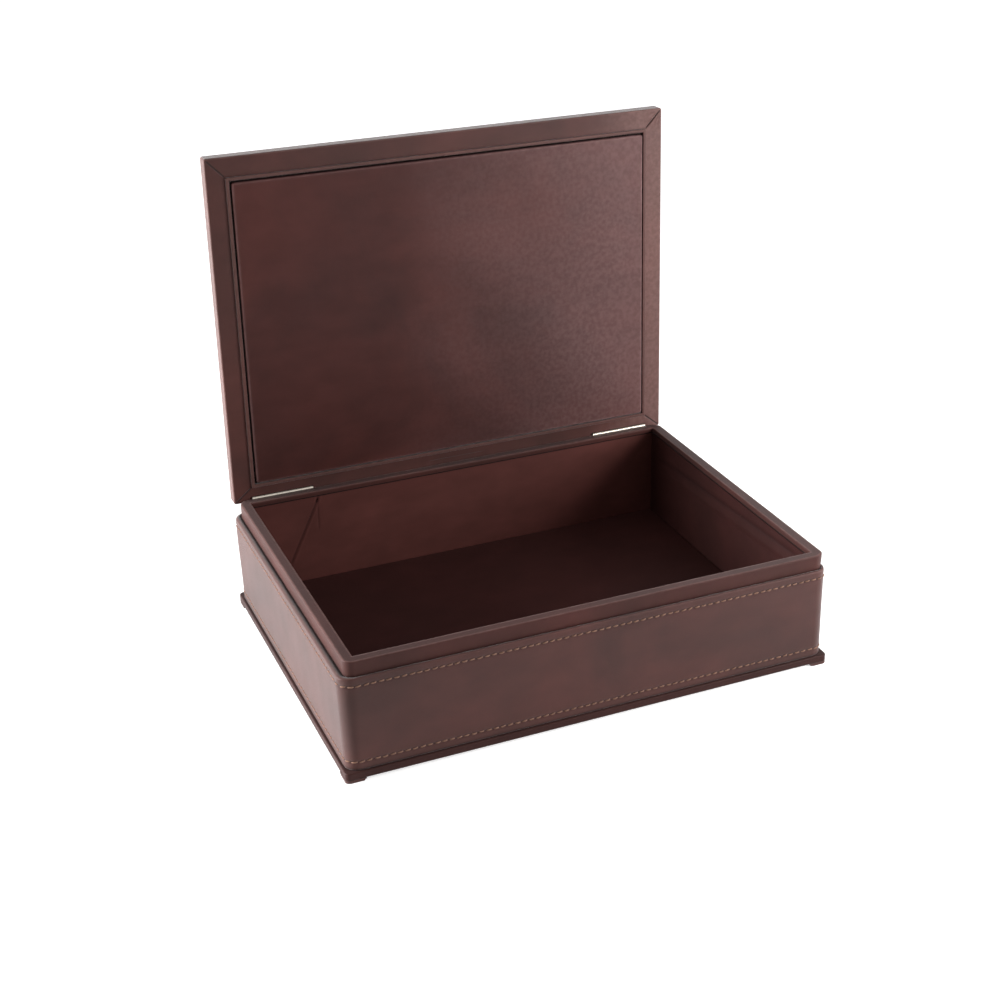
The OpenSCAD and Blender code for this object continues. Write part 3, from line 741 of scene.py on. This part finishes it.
# Stepped edge: a raised frame inside the window, with a painted highlight on its tread and painted shade towards
# its root
step = {"height": 1.4 * mm, "tread": 2.4 * mm, "round": 0.45 * mm, "corner": 0.8 * mm, "steps": (120, 90, 6),
        "wearAndHighlight": 0.15, "highlightDepth": 0.12 * mm, "paintedShade": 0.5, "shadeSpan": (0.5 * mm, 1.1 * mm)}
stepRound, stepTop, stepFoot = step["round"], faceZ - step["height"], faceZ + lid["skin"]
stepProfile = [(0, stepFoot)] + bend(-stepRound, stepTop + stepRound, stepRound, 0, -90, steps=6)
stepProfile += bend(-step["tread"] + stepRound, stepTop + stepRound, stepRound, -90, -180, steps=6)
stepProfile += [(-step["tread"], stepFoot)]
stepWay = wayRound(*step["steps"])
stepPoints = carryRound(stepWay, lid["windowW"], lid["windowD"], step["corner"], stepProfile, middleY)
stepHighlight = step["wearAndHighlight"] * (stepPoints[..., 2] < stepTop + step["highlightDepth"])
shadeLow, shadeHigh = step["shadeSpan"]
stepShade = step["paintedShade"] * smoothStep(stepPoints[..., 2], stepTop + shadeLow, stepTop + shadeHigh)
makePiece("lidStepLeather", openLid(stepPoints), ringFaces(len(stepProfile), len(stepWay[0]), True),
          coverLeather, "lid", ["lid_step_frame"], stepHighlight, stepShade)

# Raised panel: rounded at its edge, gently crowned, with a painted sheen that makes it paler towards the right in
# a soft cloud, a painted highlight on its rounded edge and painted shade up its side
panel = {"width": 302.8 * mm, "depth": 215.8 * mm, "corner": 1.9 * mm, "height": 2.8 * mm, "round": 1.0 * mm,
         "steps": (150, 110, 8), "wall": 0.4 * mm, "edgeInsets": (1.5, 12, 14), "faceInsets": (14, 105, 46),
         "crown": 0.35 * mm, "crownSpan": (1 * mm, 30 * mm), "wave": 0.15 * mm, "waveSeed": 31,
         "waveStart": 1.2 * mm, "cloud": 45 * mm, "cloudSeed": 44, "cloudStretch": 0.6,
         "faceSheen": 0.45, "faceSpan": (-70 * mm, 165 * mm),
         "edgeWearAndHighlight": 0.3, "edgeMiddle": 0.6 * mm, "edgeWidth": 0.7 * mm,
         "paintedShade": 0.6, "shadeSpan": (0.7 * mm, 1.5 * mm)}
panelTop = faceZ - panel["height"]
panelProfile = [(0, faceZ + lid["skin"]), (0, faceZ - panel["wall"])]
panelProfile += bend(-panel["round"], panelTop + panel["round"], panel["round"], 0, -90, steps=9)
panelInsets = np.concatenate([np.linspace(*panel["edgeInsets"]), np.linspace(*panel["faceInsets"])]) * mm
panelProfile += [(-o, panelTop) for o in panelInsets]
panelWay = wayRound(*panel["steps"])
panelPoints = carryRound(panelWay, panel["width"], panel["depth"], panel["corner"], panelProfile, middleY)
inset = -outsOf(panelProfile)
swell = panel["crown"] * smoothStep(inset, *panel["crownSpan"])
panelWaves = softWaves(*np.moveaxis(panelPoints, -1, 0), panel["waveSeed"])
panelPoints[..., 2] -= swell + (inset > panel["waveStart"]) * panel["wave"] * panelWaves
cloud = softWaves(*np.moveaxis(panel["cloudStretch"] * panelPoints, -1, 0), panel["cloudSeed"])
panelSheenAndHighlight = panel["faceSheen"] * smoothStep(panelPoints[..., 0] + panel["cloud"] * cloud, *panel["faceSpan"])
panelSheenAndHighlight += panel["edgeWearAndHighlight"] * bump(inset - panel["edgeMiddle"], panel["edgeWidth"])
shadeLow, shadeHigh = panel["shadeSpan"]
panelShade = panel["paintedShade"] * smoothStep(panelPoints[..., 2], panelTop + shadeLow, panelTop + shadeHigh)
makePiece("lidPanelLeather", openLid(panelPoints), ringFaces(len(panelPoints), len(panelWay[0]), False),
          panelLeather, "lid", ["lid_panel_cover"], panelSheenAndHighlight, panelShade)

# Floor, light and camera. Distances are in metres and powers in watts.
studio = {"floorHalf": 14, "floorColour": (0.86, 0.86, 0.86, 1), "floorGlow": (0.35, 1.5, 0.55, 0.84),
          "skyLevel": 0.23, "skyColour": (1, 1, 1, 1)}
lamps = {"leftSoftbox": {"place": (-1.6, 0.55, 0.32), "target": (0, 0, 0.08), "size": 0.8, "power": 95},
         "lowFill": {"place": (0.62, -0.5, 0.32), "target": (0.12, 0, 0.16), "size": 0.35, "power": 8.2},
         "frontFill": {"place": (0.3, -1.6, 0.9), "target": (0, 0, 0.12), "size": 0.9, "power": 2.5},
         "topSoftbox": {"place": (0, 0.1, 2.0), "target": (0, 0, 0), "size": 1.6, "power": 4}}
view = {"place": (-0.412761, -0.977271, 0.61401), "turn": (66.9791, 0.4797, -23.7659), "lens": 62.373,
        "sensor": 36, "shift": (-0.03477, -0.08759), "clip": (0.05, 60)}


# 1 for the rays that see white behind the box, from the camera, off gloss and through glass, else 0
def whiteRays(tree):
    path = tree.nodes.new("ShaderNodeLightPath").outputs
    seen = addMath(tree, "MAXIMUM", path["Is Camera Ray"], path["Is Glossy Ray"])
    return addMath(tree, "MAXIMUM", seen, path["Is Transmission Ray"])


# Pale diffuse floor that keeps the shadow, with a glow for those rays that grows with distance
def paleFloor():
    finish = bpy.data.materials.new("paleFloor")
    finish.use_nodes = True
    tree = finish.node_tree
    tree.nodes.clear()
    result = tree.nodes.new("ShaderNodeOutputMaterial")
    lit = addNode(tree, "ShaderNodeBsdfDiffuse", {"Color": studio["floorColour"]})
    glow = addNode(tree, "ShaderNodeEmission")
    where = tree.nodes.new("ShaderNodeTexCoord")
    distance = addNode(tree, "ShaderNodeVectorMath", operation="LENGTH")
    tree.links.new(where.outputs["Object"], distance.inputs[0])
    glowLevel = remap(tree, distance.outputs["Value"], *studio["floorGlow"])
    tree.links.new(addMath(tree, "MULTIPLY", whiteRays(tree), glowLevel), glow.inputs["Strength"])
    both = tree.nodes.new("ShaderNodeAddShader")
    for a, b in ((lit.outputs[0], both.inputs[0]), (glow.outputs[0], both.inputs[1]),
                 (both.outputs[0], result.inputs["Surface"])):
        tree.links.new(a, b)
    return finish


far = studio["floorHalf"]
floorMesh = bpy.data.meshes.new("studioFloor")
floorMesh.from_pydata([(-far, -far, 0), (far, -far, 0), (far, far, 0), (-far, far, 0)], [], [(0, 1, 2, 3)])
floorMesh.materials.append(paleFloor())
floor = bpy.data.objects.new("studioFloor", floorMesh)
bpy.context.scene.collection.objects.link(floor)

world = bpy.data.worlds.new("studio")
bpy.context.scene.world = world
world.use_nodes = True
sky = world.node_tree
background = sky.nodes["Background"].inputs
sky.links.new(remap(sky, whiteRays(sky), 0.0, 1.0, studio["skyLevel"], 1.0), background["Strength"])
background["Color"].default_value = studio["skyColour"]

for name, lamp in lamps.items():
    light = bpy.data.lights.new(name, "AREA")
    light.shape, light.size, light.energy = "SQUARE", lamp["size"], lamp["power"]
    box = bpy.data.objects.new(name, light)
    box.location = lamp["place"]
    box.visible_camera = False
    aim = np.array(lamp["target"]) - np.array(lamp["place"])
    tip, turn = math.atan2(math.hypot(aim[0], aim[1]), -aim[2]), math.atan2(aim[1], aim[0]) - math.pi / 2
    box.rotation_euler = (tip, 0, turn)
    bpy.context.scene.collection.objects.link(box)

camera = bpy.data.objects.new("camera", bpy.data.cameras.new("camera"))
camera.data.sensor_width = view["sensor"]
camera.data.lens = view["lens"]
camera.data.shift_x, camera.data.shift_y = view["shift"]
camera.data.clip_start, camera.data.clip_end = view["clip"]
camera.location = view["place"]
camera.rotation_euler = [math.radians(x) for x in view["turn"]]
bpy.context.scene.collection.objects.link(camera)
bpy.context.scene.camera = camera
bpy.context.scene.view_settings.view_transform = "Standard"
print("stage, light and camera set")
